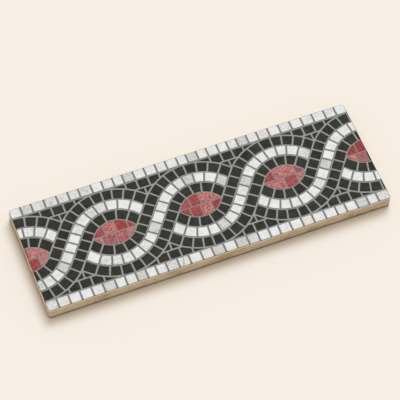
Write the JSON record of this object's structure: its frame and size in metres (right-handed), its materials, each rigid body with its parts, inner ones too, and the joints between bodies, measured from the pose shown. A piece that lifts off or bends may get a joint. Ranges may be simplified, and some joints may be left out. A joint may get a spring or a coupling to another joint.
{
  "type": "border tile",
  "caption": "Rectangular ceramic border tile with a mosaic-look face in low relief: interlaced guilloche strands round red eyes, with white rows along its long edges.",
  "frame": {"origin": "middle of the back, on the plane that the tile is bedded on", "axes": "+X along the tile, +Y across it, +Z out of the decorated face"},
  "size_m": [0.3, 0.1, 0.013],
  "materials": {
    "biscuit": "matte",
    "white_tesserae": "satin",
    "black_tesserae": "satin",
    "red_tesserae": "satin",
    "joint_grey": "matte"
  },
  "bodies": {
    "root": {"border_tile": "biscuit"}
  },
  "joints": []
}
